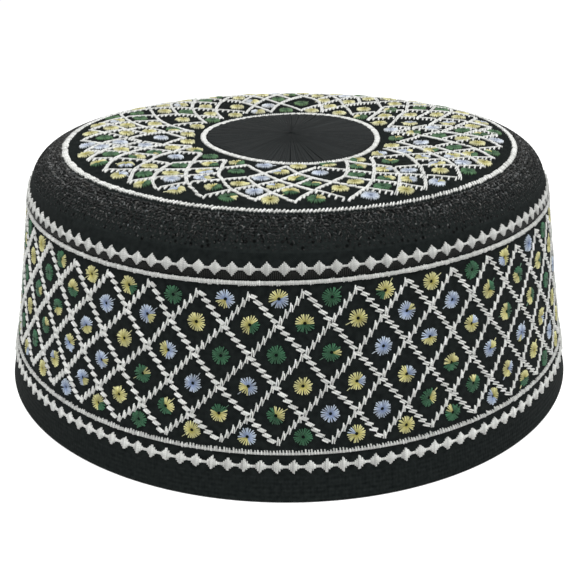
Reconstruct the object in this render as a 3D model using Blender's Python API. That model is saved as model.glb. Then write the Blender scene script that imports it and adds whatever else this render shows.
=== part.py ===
"""An embroidered kufi: a round cap with a nearly flat crown, a rolled quilted shoulder and a standing side band.

The cap stands on its rim at z = 0, with its axis on +Z and its front towards -Y. Every wall follows one outline, the
cloth's outer face from the middle of the crown down to the rim, and is as thick as its cloth. The embroidered borders
are raised trims that lie a sewing gap above that face: a satin disc, four satin rings and two chains of diamonds.
"""

import math

import bmesh
import bpy
import numpy as np

MM = 0.001

# The outer face of the cloth. It sets the whole cap: a person's head of about 57 cm goes in at the rim.
OUTLINE_MM = (
    # station, radius, height
    ("centre", 0.0, 74.0),
    ("inner_ring", 27.8, 73.2),
    ("field", 46.0, 74.0),
    ("field_edge", 62.0, 74.6),
    ("outer_ring", 70.7, 73.0),
    ("shoulder_top", 79.3, 68.5),
    ("shoulder_side", 82.2, 62.1),
    ("upper_line", 82.8, 58.9),
    ("lower_line", 90.9, 13.8),
    ("rim", 94.0, 0.0),
)

CLOTH = 2.2 * MM  # crown, shoulder and side band: embroidered cloth with its backing
HEM_CLOTH = 3.0 * MM  # the hem is turned up, so it is thicker
GAP = 0.3 * MM  # between neighbouring pieces
SEGMENTS = 72  # sides of every turned piece

# Where one wall ends and the next begins, as distances down the outline from a station.
CROWN_JOINT = 1.7 * MM  # below outer_ring: the crown's seam, just outside the ring
SHOULDER_JOINT = 7.4 * MM  # above upper_line: over the diamonds
HEM_JOINT = 6.5 * MM  # below lower_line: under the diamonds

# Raised trims.
DISC_RADIUS = 26.5 * MM
DISC_HEIGHT = 0.5 * MM
TRIMS_MM = (
    # ring, station it lies on, width, height
    ("inner_ring", "inner_ring", 1.8, 0.9),
    ("outer_ring", "outer_ring", 2.3, 1.0),
    ("upper_line", "upper_line", 1.3, 0.6),
    ("lower_line", "lower_line", 1.3, 0.6),
)
DIAMONDS_MM = (
    # chain, station, middle's distance down from it, diamonds round the cap, height, link height, raised by
    ("upper_diamonds", "upper_line", -3.7, 122, 3.6, 0.7, 0.7),
    ("lower_diamonds", "lower_line", 3.8, 130, 3.4, 0.6, 0.7),
)

# The soft cap isn't perfectly round: its crown sits a little to the right, and sinks towards the back.
CROWN_SHIFT = 1.1 * MM
BACK_SAG = 3.7 * MM

COLOURS = {
    # material: linear colour, roughness
    "black_cloth": ((0.014, 0.015, 0.017), 0.9),
    "black_satin": ((0.012, 0.013, 0.014), 0.5),
    "white_thread": ((0.62, 0.62, 0.58), 0.55),
}


def smooth_step(t):
    """0 to 1 as t goes from 0 to 1, level at both ends."""
    t = np.clip(t, 0.0, 1.0)
    return t * t * (3.0 - 2.0 * t)


class Outline:
    """The cloth's outer face as (radius, height) against the distance s from the crown's centre."""

    def __init__(self, table, steps=24):
        self.names = [row[0] for row in table]
        knots = np.array([row[1:] for row in table]) * MM
        before = [-knots[1, 0], knots[1, 1]]  # the crown is level at its centre
        after = 2 * knots[-1] - knots[-2]
        ring = np.vstack([before, knots, after])
        points = [self.span(ring[i : i + 4], steps) for i in range(len(knots) - 1)]
        self.points = np.vstack(points + [knots[-1:]])
        lengths = np.linalg.norm(np.diff(self.points, axis=0), axis=1)
        self.s = np.concatenate([[0.0], np.cumsum(lengths)])
        self.stations = dict(zip(self.names, self.s[::steps]))

    @staticmethod
    def span(four, steps):
        """Catmull-Rom points between the middle two of four knots, with chord-length tangents."""
        chords = np.linalg.norm(np.diff(four, axis=0), axis=1)
        slopes = np.diff(four, axis=0) / chords[:, None]
        start = (slopes[0] * chords[1] + slopes[1] * chords[0]) / (chords[0] + chords[1])
        end = (slopes[1] * chords[2] + slopes[2] * chords[1]) / (chords[1] + chords[2])
        t = np.linspace(0.0, 1.0, steps, endpoint=False)[:, None]
        return (
            (1 + 2 * t) * (1 - t) ** 2 * four[1]
            + t * (1 - t) ** 2 * chords[1] * start
            + t * t * (3 - 2 * t) * four[2]
            + t * t * (t - 1) * chords[1] * end
        )

    def at(self, s, out=0.0):
        """(radius, height) at distance s, moved out of the cloth along its normal."""
        s = np.atleast_1d(np.asarray(s, float))
        ahead, behind = self.read(s + 0.5 * MM), self.read(s - 0.5 * MM)
        along = ahead - behind
        along /= np.linalg.norm(along, axis=1)[:, None]
        normal = np.stack([-along[:, 1], along[:, 0]], axis=1)
        normal[s <= 0.0] = (0.0, 1.0)
        return self.read(s) + normal * np.reshape(out, (-1, 1))

    def read(self, s):
        return np.stack([np.interp(s, self.s, self.points[:, i]) for i in (0, 1)], axis=1)

    def distance_to_radius(self, radius):
        """The distance s at which the crown reaches a radius."""
        return float(np.interp(radius, self.points[:, 0], self.s))


def settle(x, y, z):
    """The cap's own unevenness: the crown's shift to the right and its sag at the back."""
    radius = np.hypot(x, y)
    share_of_crown = 1.0 - smooth_step((radius - 62 * MM) / (22 * MM))
    on_top = smooth_step((z - 55 * MM) / (12 * MM))
    back = np.clip(y / np.maximum(radius, 1e-9), 0.0, 1.0) ** 2
    off_centre = smooth_step((radius - 47 * MM) / (28 * MM))
    sag = BACK_SAG * back * off_centre * np.clip(z / (66 * MM), 0.0, 1.0)
    return x + CROWN_SHIFT * share_of_crown * on_top, y, z - sag


def settled(bm):
    for v in bm.verts:
        v.co = [float(c) for c in settle(*v.co)]


def material(name):
    made = bpy.data.materials.get(name) or bpy.data.materials.new(name)
    made.use_nodes = True
    colour, roughness = COLOURS[name]
    shader = made.node_tree.nodes["Principled BSDF"]
    shader.inputs["Base Color"].default_value = (*colour, 1.0)
    shader.inputs["Roughness"].default_value = roughness
    shader.inputs["Metallic"].default_value = 0.0
    made.diffuse_color = (*colour, 1.0)
    return made


def new_object(name, bm, material_name, parent):
    """One sub-part: the finished bmesh as a named object with its material."""
    settled(bm)
    bmesh.ops.recalc_face_normals(bm, faces=bm.faces[:])
    mesh = bpy.data.meshes.new(name)
    bm.to_mesh(mesh)
    bm.free()
    mesh.shade_smooth()
    mesh.set_sharp_from_angle(angle=math.radians(35))
    mesh.materials.append(material(material_name))
    obj = bpy.data.objects.new(name, mesh)
    obj.parent = parent
    bpy.context.scene.collection.objects.link(obj)
    return obj


def turned(name, section, material_name, parent):
    """Spins a closed (radius, height) section once round the axis. Points on the axis become poles."""
    bm = bmesh.new()
    verts = [bm.verts.new((r, 0.0, z)) for r, z in section]
    on_axis = [r < 1e-9 for r, z in section]
    edges = [
        bm.edges.new((verts[i - 1], verts[i]))
        for i in range(len(verts))
        if not (on_axis[i - 1] and on_axis[i])
    ]
    bmesh.ops.spin(
        bm, geom=verts + edges, cent=(0, 0, 0), axis=(0, 0, 1), dvec=(0, 0, 0), angle=math.tau, steps=SEGMENTS
    )
    bmesh.ops.remove_doubles(bm, verts=bm.verts[:], dist=1e-6)
    bmesh.ops.dissolve_degenerate(bm, dist=1e-7, edges=bm.edges[:])
    return new_object(name, bm, material_name, parent)


def wall(outline, start, end, thickness, rows):
    """The section of a cloth wall between two distances down the outline."""
    outside = outline.at(np.linspace(start, end, rows))
    inside = outline.at(np.linspace(end, start, rows), -thickness)
    if start <= 0.0:
        inside[-1, 0] = 0.0
    return np.vstack([outside, inside])


def crown_panel(outline, parent):
    end = outline.stations["outer_ring"] + CROWN_JOINT - GAP / 2
    return turned("crown_panel", wall(outline, 0.0, end, CLOTH, 6), "black_cloth", parent)


def shoulder(outline, parent):
    start = outline.stations["outer_ring"] + CROWN_JOINT + GAP / 2
    end = outline.stations["upper_line"] - SHOULDER_JOINT - GAP / 2
    return turned("shoulder", wall(outline, start, end, CLOTH, 5), "black_cloth", parent)


def side_band(outline, parent):
    start = outline.stations["upper_line"] - SHOULDER_JOINT + GAP / 2
    end = outline.stations["lower_line"] + HEM_JOINT - GAP / 2
    return turned("side_band", wall(outline, start, end, CLOTH, 4), "black_cloth", parent)


def hem(outline, parent):
    """The rolled bottom band. Its lower edge is rounded, with a flat foot on which the cap rests."""
    start = outline.stations["lower_line"] + HEM_JOINT + GAP / 2
    round_over = 1.3 * MM
    end = outline.stations["rim"] - round_over
    outside = outline.at(np.linspace(start, end, 3))
    inside = outline.at(np.linspace(end, start, 3), -HEM_CLOTH)
    rim = outline.at(outline.stations["rim"])[0, 0]
    foot_out, foot_in = rim - 0.9 * MM, rim - HEM_CLOTH + 0.7 * MM
    foot = [
        (rim - 0.25 * MM, 0.45 * MM),
        (foot_out, 0.0),
        (foot_in, 0.0),
        (foot_in - 0.6 * MM, 0.5 * MM),
    ]
    return turned("hem", np.vstack([outside, foot, inside]), "black_cloth", parent)


def centre_disc(outline, parent):
    end = outline.distance_to_radius(DISC_RADIUS)
    face = outline.at(np.linspace(0.0, end, 3), GAP + DISC_HEIGHT)
    back = outline.at(np.linspace(end, 0.0, 3), GAP)
    face[0, 0] = back[-1, 0] = 0.0
    return turned("centre_disc", np.vstack([face, back]), "black_satin", parent)


def satin_ring(outline, name, station, width, height, parent):
    """A ring of satin stitch: flat underneath, rounded on top."""
    s = outline.stations[station] + width * np.array([-0.5, -0.36, 0.0, 0.36, 0.5])
    out = GAP + height * np.array([0.0, 0.7, 1.0, 0.7, 0.0])
    return turned(name, outline.at(s, out), "white_thread", parent)


def diamond_chain(outline, name, middle, count, height, link, raised, parent):
    """A chain of satin diamonds round the cap, joined by thin links, each ridged along its middle."""
    bm = bmesh.new()
    loops = []
    for i in range(2 * count):
        half = (height if i % 2 == 0 else link) / 2
        peak = raised if i % 2 == 0 else 0.5 * raised
        section = outline.at(middle + np.array([-half, 0.0, half]), GAP + np.array([0.0, peak, 0.0]))
        angle = math.tau * i / (2 * count)
        loops.append(
            [bm.verts.new((r * math.cos(angle), r * math.sin(angle), z)) for r, z in section]
        )
    for i, loop in enumerate(loops):
        before = loops[i - 1]
        for j in range(3):
            k = (j + 1) % 3
            bm.faces.new((before[j], loop[j], loop[k], before[k]))
    bmesh.ops.triangulate(bm, faces=bm.faces[:])
    return new_object(name, bm, "white_thread", parent)


def main():
    for obj in list(bpy.data.objects):
        bpy.data.objects.remove(obj, do_unlink=True)
    cap = bpy.data.objects.new("kufi", None)
    bpy.context.scene.collection.objects.link(cap)

    outline = Outline(OUTLINE_MM)
    crown_panel(outline, cap)
    shoulder(outline, cap)
    side_band(outline, cap)
    hem(outline, cap)
    centre_disc(outline, cap)
    for name, station, width, height in TRIMS_MM:
        satin_ring(outline, name, station, width * MM, height * MM, cap)
    for name, station, down, count, height, link, raised in DIAMONDS_MM:
        middle = outline.stations[station] + down * MM
        diamond_chain(outline, name, middle, count, height * MM, link * MM, raised * MM, cap)


main()
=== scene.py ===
# %% [markdown]
# # An embroidered kufi, stitch by stitch
#
# This lesson dresses a plain model of a kufi, a round embroidered cap. The plain model holds the cap's walls and
# borders at their real size. Here each of them gets its cloth and its thread: black cotton, white satin stitch, a
# lattice of short white stitches and some four hundred small flowers in green, ochre and blue.
#
# The frame comes first. It is loaded, measured and never moved, and every piece below is laid over it.

import bpy
import numpy as np
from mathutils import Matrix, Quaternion, Vector


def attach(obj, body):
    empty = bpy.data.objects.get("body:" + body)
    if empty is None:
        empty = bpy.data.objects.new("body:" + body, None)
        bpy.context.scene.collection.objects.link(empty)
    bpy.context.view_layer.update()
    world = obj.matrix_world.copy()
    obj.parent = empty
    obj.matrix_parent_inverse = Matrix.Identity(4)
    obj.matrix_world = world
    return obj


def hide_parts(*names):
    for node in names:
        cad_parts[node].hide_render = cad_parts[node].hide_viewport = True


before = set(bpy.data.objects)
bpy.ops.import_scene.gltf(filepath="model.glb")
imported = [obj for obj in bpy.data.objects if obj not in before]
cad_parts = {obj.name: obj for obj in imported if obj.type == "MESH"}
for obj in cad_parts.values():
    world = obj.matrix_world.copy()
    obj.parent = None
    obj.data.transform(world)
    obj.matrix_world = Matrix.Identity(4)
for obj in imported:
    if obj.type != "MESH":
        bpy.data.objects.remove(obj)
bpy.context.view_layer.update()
MM = 0.001
print("nodes:", ", ".join(sorted(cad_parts)))

# %% [markdown]
# ## One outline for the whole cap
#
# Everything on this cap lies on one surface. Its outline runs from the middle of the crown, over the shoulder and
# down the side to the rim, and the surface is that outline turned round the axis. So a stitch is placed with three
# numbers: `s`, how far down the outline it is, `angle`, how far round from the front, and `out`, how high above the
# cloth. That is like drawing on paper and wrapping the paper round the cap, and it is easier than modelling in space.
#
# The stations are those of the plain model. Between them the outline is a smooth cubic curve, which passes through
# every station without a corner.

# %% The outline
STATIONS = (
    # station, radius and height in mm
    ("centre", 0.0, 74.0),
    ("inner_ring", 27.8, 73.2),
    ("field", 46.0, 74.0),
    ("field_edge", 62.0, 74.6),
    ("outer_ring", 70.7, 73.0),
    ("shoulder_top", 79.3, 68.5),
    ("shoulder_side", 82.2, 62.1),
    ("upper_line", 82.8, 58.9),
    ("lower_line", 90.9, 13.8),
    ("rim", 94.0, 0.0),
)
STEPS = 60  # points of the outline from one station to the next


def curve_between(four):
    """The stretch between the middle two of four stations: a cubic with the neighbours' slope at each end."""
    chords = np.linalg.norm(np.diff(four, axis=0), axis=1)
    slopes = np.diff(four, axis=0) / chords[:, None]
    start = (slopes[0] * chords[1] + slopes[1] * chords[0]) / (chords[0] + chords[1])
    end = (slopes[1] * chords[2] + slopes[2] * chords[1]) / (chords[1] + chords[2])
    t = np.linspace(0, 1, STEPS, endpoint=False)[:, None]
    first, last = (1 + 2 * t) * (1 - t) ** 2, t * t * (3 - 2 * t)
    bend = t * (1 - t) ** 2 * start + t * t * (t - 1) * end
    return first * four[1] + last * four[2] + chords[1] * bend


stations = np.array([row[1:] for row in STATIONS])
knots = np.vstack([[-stations[1, 0], stations[1, 1]], stations, 2 * stations[-1] - stations[-2]])
stretches = [curve_between(knots[i : i + 4]) for i in range(len(stations) - 1)]
outline = np.vstack(stretches + [stations[-1:]])
outline_s = np.concatenate([[0], np.cumsum(np.linalg.norm(np.diff(outline, axis=0), axis=1))])
AT = dict(zip([row[0] for row in STATIONS], outline_s[::STEPS]))
along = np.gradient(outline, outline_s, axis=0)
along /= np.linalg.norm(along, axis=1)[:, None]
outline_normal = np.stack([-along[:, 1], along[:, 0]], axis=1)
print({name: round(float(s), 1) for name, s in AT.items()})

# %% [markdown]
# A sewn cap is never quite round. This one's crown sits a millimetre to the right and sinks a little at the back, so
# the same small move is given to every point of every piece.

# %% From the flat pattern to the cap
CROWN_SHIFT, BACK_SAG = 1.1, 3.7  # mm


def smooth_step(x, start=0.0, end=1.0):
    """0 up to 1 as x goes from start to end, level at both: 3t^2 - 2t^3, where t is how far x has come."""
    t = np.clip((x - start) / (end - start), 0, 1)
    return t * t * (3 - 2 * t)


def settle(x, y, z):
    """The crown's shift to the right, and its sag towards the back, which fades out down the wall."""
    radius = np.hypot(x, y)
    shift = CROWN_SHIFT * (1 - smooth_step(radius, 62, 84)) * smooth_step(z, 55, 67)
    back = np.clip(y / np.maximum(radius, 1e-6), 0, 1) ** 2
    sag = BACK_SAG * back * smooth_step(radius, 47, 75) * np.clip(z / 66, 0, 1)
    return np.stack([x + shift, y, z - sag], axis=-1)


def radius_at(s):
    """The outline's distance from the axis at s, in mm."""
    return np.interp(s, outline_s, outline[:, 0])


def on_cap(s, angle, out=0.0):
    """Points in metres: the outline's point at s, moved out along its normal, then turned from the front."""
    s, angle, out = np.broadcast_arrays(s, angle, out)
    aside, up = (np.interp(s, outline_s, part) for part in outline_normal.T)
    r = radius_at(s) + out * aside
    z = np.interp(s, outline_s, outline[:, 1]) + out * up
    return settle(r * np.sin(angle), -r * np.cos(angle), z) * MM


print("rim at the front:", np.round(on_cap(AT["rim"], 0.0), 4), "crown:", np.round(on_cap(0.0, 0.0), 4))

# %% [markdown]
# ## Meshes from whole arrays
#
# A piece is kept as arrays until the end: its points, its faces, a UV pair for each corner of a face, and a dye for
# each point. The UVs are in millimetres along and across the cloth or thread, so that one thread pattern fits all.

# %% A shape as arrays
WHITE = np.array([0.78, 0.79, 0.76])


class Cut:
    """Arrays of one shape: points (n, 3), faces as (m, k) index arrays, uvs to match, and dyes (n, 3)."""

    def __init__(self, points, faces, uvs, dyes=WHITE):
        self.points, self.faces, self.uvs = points, faces, uvs
        self.dyes = np.broadcast_to(dyes, points.shape)


def joined(*cuts):
    """Several shapes as one: each one's indices are moved up by the number of points before it."""
    shifts = np.cumsum([0] + [len(cut.points) for cut in cuts])
    faces = [face + shift for cut, shift in zip(cuts, shifts) for face in cut.faces]
    uvs = [uv for cut in cuts for uv in cut.uvs]
    return Cut(np.vstack([c.points for c in cuts]), faces, uvs, np.vstack([c.dyes for c in cuts]))


def turned_outwards(cut):
    """A closed shape's volume is the sum of its faces' own with the origin. If it is negative, they turn."""
    corners = [[cut.points[face[:, i]] for i in range(face.shape[1])] for face in cut.faces]
    volume = sum(
        np.einsum("ij,ij->", first, np.cross(second, third))
        for first, *others in corners
        for second, third in zip(others, others[1:])
    )
    if volume < 0:
        cut.faces = [face[:, ::-1] for face in cut.faces]
        cut.uvs = [uv[:, ::-1] for uv in cut.uvs]
    return cut


# %% From arrays to a piece
def new_piece(name, cut, material, *nodes, slot=None):
    """Puts a shape's arrays into a mesh with foreach_set, and lays it over the plain model's nodes."""
    cut = turned_outwards(cut)
    mesh = bpy.data.meshes.new(name)
    corners = np.concatenate([face.ravel() for face in cut.faces]).astype(np.int32)
    sizes = np.concatenate([np.full(len(face), face.shape[1]) for face in cut.faces])
    mesh.vertices.add(len(cut.points))
    mesh.vertices.foreach_set("co", cut.points.astype(np.float32).ravel())
    mesh.loops.add(len(corners))
    mesh.loops.foreach_set("vertex_index", corners)
    mesh.polygons.add(len(sizes))
    starts = np.concatenate([[0], np.cumsum(sizes)[:-1]]).astype(np.int32)
    mesh.polygons.foreach_set("loop_start", starts)
    mesh.update(calc_edges=True)
    uv = np.concatenate([uv.reshape(-1, 2) for uv in cut.uvs])
    mesh.uv_layers.new(name="thread").data.foreach_set("uv", uv.astype(np.float32).ravel())
    dye = np.column_stack([cut.dyes, np.ones(len(cut.points))])
    mesh.color_attributes.new("dye", "FLOAT_COLOR", "POINT").data.foreach_set("color", dye.ravel())
    mesh.shade_smooth()
    mesh.materials.append(material)
    obj = bpy.data.objects.new(name, mesh)
    bpy.context.scene.collection.objects.link(obj)
    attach(obj, "root")
    if nodes:
        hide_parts(*nodes)
    print(f"{name}: {int((sizes - 2).sum())} triangles")


# %% [markdown]
# ## Two kinds of shape
#
# Only two shapes are needed. A **turned** shape is a closed section carried all the way round the cap: cloth walls
# and the cords under the satin rings. A **thread** is a short bar that leaves the cloth, runs level and dives back
# in, which is just what a stitch does. Threads are made thousands at a time.

# %% Turned shapes
COLUMNS = 240  # faces round a wall or a cord
UV_RADIUS = 90  # mm, where the UVs of a turned shape are true to size round the cap
SUNK = 0.1  # mm, how deep in the cloth a cord's foot lies


def turned(s, out, columns=COLUMNS, poles=False, dye=WHITE, drift=None):
    """A section given by s and out, carried round the cap. Its rows are a grid that closes on itself both
    ways, or, with poles, a grid whose first and last rows are single points on the axis, joined to it by
    fans. A drift moves the section down by a length that depends on the angle, less near the axis."""
    rows = len(s) - 2 if poles else len(s)
    angle = np.arange(columns) * 2 * np.pi / columns
    inner = slice(1, -1) if poles else slice(None)
    place = np.array(s)[inner, None] * (1 + (drift(angle) / np.max(s) if drift else 0.0))
    points = on_cap(place, angle[None], np.array(out)[inner, None]).reshape(-1, 3)
    row, col = np.meshgrid(np.arange(rows - 1 if poles else rows), np.arange(columns), indexing="ij")
    corner_row = np.stack([row, row, row + 1, row + 1], axis=-1).reshape(-1, 4)
    corner_col = np.stack([col, col + 1, col + 1, col], axis=-1).reshape(-1, 4)
    down = np.concatenate([[0], np.cumsum(np.hypot(np.diff(s), np.diff(out)))])
    down = np.append(down, down[-1] + 1)[1 if poles else 0 :]
    uv = np.stack([corner_col * 2 * np.pi / columns * UV_RADIUS, down[corner_row]], axis=-1)
    faces, uvs = [corner_row % rows * columns + corner_col % columns], [uv]
    if poles:
        tips = on_cap(np.array([s[0], s[-1]]), 0.0, np.array([out[0], out[-1]]))
        count, k = len(points), np.arange(columns)
        points = np.vstack([points, tips])
        last = (rows - 1) * columns
        after = (k + 1) % columns
        faces.append(np.stack([np.full(columns, count), after, k], axis=-1))
        faces.append(np.stack([np.full(columns, count + 1), last + k, last + after], axis=-1))
        uvs += [np.zeros((columns, 3, 2))] * 2
    return Cut(points, faces, uvs, dye)


def cord_section(middle, width, height):
    """A half ellipse standing on the cloth: s goes across it as a cosine, out rises and falls as a sine."""
    t = np.linspace(0, np.pi, 7)
    return middle - width / 2 * np.cos(t), -SUNK + (height + SUNK) * np.sin(t)


print("a cord 1 mm wide and 0.4 mm high:", np.round(cord_section(0.0, 1.0, 0.4), 2).tolist())

# %% Threads
BED = -0.12  # how deep in the cloth a stitch's foot lies, in mm
ACROSS = np.array([-0.5, -0.27, 0.27, 0.5])  # the four corners of a section, as shares of the width
TOP = np.array([0.0, 1.0, 1.0, 0.0])
TWIST_SHIFT = 7.3  # per mm of s, so that no two neighbours show the same part of the twist


def threads(start, end, width, height, dye=WHITE, dive=0.16, end_width=None, end_dye=None, sections=4):
    """One bar for each row of start and end, which hold (s, angle). A bar's sections go evenly from its start
    to its end apart from the first and last, which dive into the cloth. Across the bar each section is a
    trapezoid. Its width and its dye may change evenly from one end to the other."""
    start, end = np.atleast_2d(start), np.atleast_2d(end)
    count = len(start)
    t = np.concatenate([[0], np.linspace(dive, 1 - dive, sections - 2), [1]])
    rise = np.concatenate([[0], np.ones(sections - 2), [0]])
    middle = start[:, None] + (end - start)[:, None] * t[None, :, None]
    radius = np.maximum(radius_at(middle[..., 0]), 0.3)  # never 0, not even at the centre
    reach = end - start
    reach = np.stack([reach[:, 0], reach[:, 1] * radius.mean(axis=1)], axis=-1)
    length = np.linalg.norm(reach, axis=-1)
    reach = reach / length[:, None]
    width, height = np.broadcast_to(width, count), np.broadcast_to(height, count)
    end_width = width if end_width is None else np.broadcast_to(end_width, count)
    broad = width[:, None] + (end_width - width)[:, None] * t
    side = broad[..., None] * ACROSS
    s = middle[..., 0, None] - side * reach[:, None, None, 1]
    angle = middle[..., 1, None] + side * reach[:, None, None, 0] / radius[..., None]
    out = BED + (height[:, None, None] - BED) * rise[None, :, None] * TOP
    points = on_cap(s, angle, out).reshape(-1, 3)
    i, j = np.meshgrid(np.arange(sections - 1), np.arange(4), indexing="ij")
    here, after = 4 * i, 4 * (i + 1)
    ring = np.stack([here + j, after + j, after + (j + 1) % 4, here + (j + 1) % 4], axis=-1)
    corners = 4 * sections
    caps = np.array([np.arange(4), corners - 1 - np.arange(4)])
    one = np.vstack([ring.reshape(-1, 4), caps])
    faces = (one[None] + np.arange(count)[:, None, None] * corners).reshape(-1, 4)
    run = t[None, :, None] * length[:, None, None] + start[:, :1, None] * TWIST_SHIFT
    point_uv = np.stack(np.broadcast_arrays(run, ACROSS), axis=-1).reshape(-1, 2)
    end_dye = dye if end_dye is None else end_dye
    first, last = (np.broadcast_to(shade, (count, 3))[:, None] for shade in (dye, end_dye))
    dyes = np.repeat(first + (last - first) * t[:, None], 4, axis=1).reshape(-1, 3)
    return Cut(points, [faces], [point_uv[faces]], dyes)


stitch = threads((100.0, 0.0), (102.0, 0.0), 0.4, 0.5)
print("one stitch has", len(stitch.points), "points and", len(stitch.faces[0]), "faces")

# %% [markdown]
# ## Shaders as sums
#
# A material here is a small sum: a colour, a roughness and a bump that follow the cloth. The class below lets the
# sum be written as one. Adding two wires adds a Math node, and any other node comes from one method.

# %% A small language for materials
class Wire:
    """An output of a node. Python's + - * on wires and numbers add Math nodes to the material."""

    def __init__(self, finish, socket):
        self.finish, self.socket = finish, socket

    def math(self, operation, *values):
        """The result of one Math node, which takes the values in their order."""
        return self.finish.node("ShaderNodeMath", {"operation": operation}, dict(enumerate(values)))

    def __add__(self, other):
        return self.math("ADD", self, other)

    __radd__ = __add__

    def __mul__(self, other):
        return self.math("MULTIPLY", self, other)

    __rmul__ = __mul__

    def __sub__(self, other):
        return self.math("SUBTRACT", self, other)

    def __rsub__(self, other):
        return self.math("SUBTRACT", other, self)

    def wave(self):
        """The sine of this wire: a full wave for every 2 pi."""
        return self.math("SINE", self)


def opaque(colour):
    """A socket takes a colour as a wire, or as red, green, blue and alpha."""
    return colour if isinstance(colour, Wire) else (*colour, 1.0)


class Finish:
    """A material with one Principled BSDF, and the one method that adds any other node."""

    def __init__(self, name, roughness, specular, sheen=0.0):
        self.material = bpy.data.materials.new(name)
        self.material.use_nodes = True
        self.nodes = self.material.node_tree.nodes
        self.links = self.material.node_tree.links
        self.shader = self.nodes["Principled BSDF"]
        values = {"Roughness": roughness, "Specular IOR Level": specular, "Sheen Weight": sheen}
        self.plug(self.shader.inputs, values)

    def plug(self, inputs, values):
        """Each value goes to the socket with its name or number. A wire is linked, and a constant is set there."""
        for key, value in values.items():
            if isinstance(value, Wire):
                self.links.new(value.socket, inputs[key])
            else:
                inputs[key].default_value = value

    def node(self, kind, settings, values, output=0):
        """Adds a node, gives it its settings and its inputs, and hands back the wire of one output."""
        made = self.nodes.new(kind)
        for key, value in settings.items():
            setattr(made, key, value)
        self.plug(made.inputs, values)
        return Wire(self, made.outputs[output])

    def where(self, output="Object"):
        """Where a point is: x, y and z as three wires, in millimetres (Object), or as UV holds them."""
        place = self.node("ShaderNodeTexCoord", {}, {}, output)
        parts = self.node("ShaderNodeSeparateXYZ", {}, {0: place}).socket.node.outputs
        scale = 1 / MM if output == "Object" else 1.0
        return [Wire(self, part) * scale for part in parts]

    def noise(self, scale, detail, output="Object"):
        """Clouds from 0 to 1, scale of them to a metre (Object) or to a millimetre (UV)."""
        place = self.node("ShaderNodeTexCoord", {}, {}, output)
        return self.node("ShaderNodeTexNoise", {}, {"Vector": place, "Scale": scale, "Detail": detail})

    def ramp(self, value, start, end, first, last):
        """Goes smoothly from first to last as the value goes from start to end."""
        values = {0: value, 1: start, 2: end, 3: first, 4: last}
        return self.node("ShaderNodeMapRange", {"interpolation_type": "SMOOTHSTEP"}, values)

    def blend(self, share, first, second):
        """A mix of two colours. The Mix node has them at its sockets 6 and 7, and their mix at its output 2."""
        values = {0: share, 6: opaque(first), 7: opaque(second)}
        return self.node("ShaderNodeMix", {"data_type": "RGBA"}, values, output=2)

    def finished(self, colour, height=None, depth=None):
        """Sets the colour, and a bump whose full height is depth millimetres."""
        self.plug(self.shader.inputs, {"Base Color": opaque(colour)})
        if height is not None:
            bump = {"Height": height, "Distance": depth * MM, "Strength": 1.0}
            self.plug(self.shader.inputs, {"Normal": self.node("ShaderNodeBump", {}, bump)})
        print("finish:", self.material.name)
        return self.material


# %% [markdown]
# ## The black cloth
#
# The crown and the side are plain woven cotton, so close and so black that the weave shows only where the light
# grazes it. Two crossed sine waves make a plain weave: each rises where the other falls. On the crown the cloth is
# flat, so its threads run along X and Y. On the side they run round the cap and down it, and the UVs give that.

# %% Woven black cotton
THREAD_PITCH = 0.55  # mm between threads of the weave
BLACK = (0.0030, 0.0044, 0.0044)
WORN_BLACK = (0.0125, 0.0155, 0.0150)
COTTON = {"roughness": 0.9, "specular": 0.03, "sheen": 0.01}
WEAVE_DEPTH = 0.12  # mm
BLOTCHES = {"Object": 600.0, "UV": 0.6}  # how many to a metre, and the same to a millimetre


def woven(name, output):
    """Two crossed waves for the weave, and a noise that wears the black here and there."""
    finish = Finish(name, **COTTON)
    x, y, _ = finish.where(output)
    turn = 2 * np.pi / THREAD_PITCH
    weave = (x * turn).wave() * (y * turn).wave()
    blotch = finish.noise(BLOTCHES[output], 4.0, output)
    colour = finish.blend(blotch * 1.8 + weave * 0.2 - 0.37, BLACK, WORN_BLACK)
    return finish.finished(colour, weave * 0.5 + blotch * 0.8, WEAVE_DEPTH)


crown_cotton = woven("crown_cotton", "Object")
side_cotton = woven("side_cotton", "UV")

# %% [markdown]
# Each wall is the outline at `out` 0 with the cloth's thickness behind it, as the section of one turned shape. The
# walls meet where the plain model's do.

# %% The cloth walls
CLOTH, HEM_CLOTH = 2.2, 3.0  # mm
HAIR = 0.03  # mm, a hair's breadth
CROWN_END = AT["outer_ring"] + 1.7
SHOULDER_END = AT["upper_line"] - 7.4
SIDE_END = AT["lower_line"] + 6.5


def wall(start, end, rows, poles=False):
    """Down the outer face from start to end and back up the inner face. A row just inside each end keeps the
    smooth shading of the corner to a hair's breadth, so that two walls meet without a visible line."""
    down = np.linspace(start, end, rows)
    down = np.insert(down, [1, rows - 1], [start + HAIR, end - HAIR])
    back = np.linspace(end, start, rows // 2)
    out = np.concatenate([np.zeros(rows + 2), np.full(rows // 2, -CLOTH)])
    return turned(np.concatenate([down, back]), out, poles=poles)


crown_wall = wall(0.0, CROWN_END, 36, poles=True)
new_piece("crown_cloth", crown_wall, crown_cotton, "crown_panel", slot="black_cloth")
side_wall = wall(SHOULDER_END, SIDE_END, 32)
new_piece("side_cloth", side_wall, side_cotton, "side_band", slot="black_cloth")

# %% [markdown]
# ## The hem
#
# The bottom of the band is turned up and rolled, so its lower edge is round. It carries no embroidery, only faint
# rows of the machine's topstitching. Its section follows the outline and ends in a quarter round and a flat foot.

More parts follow.
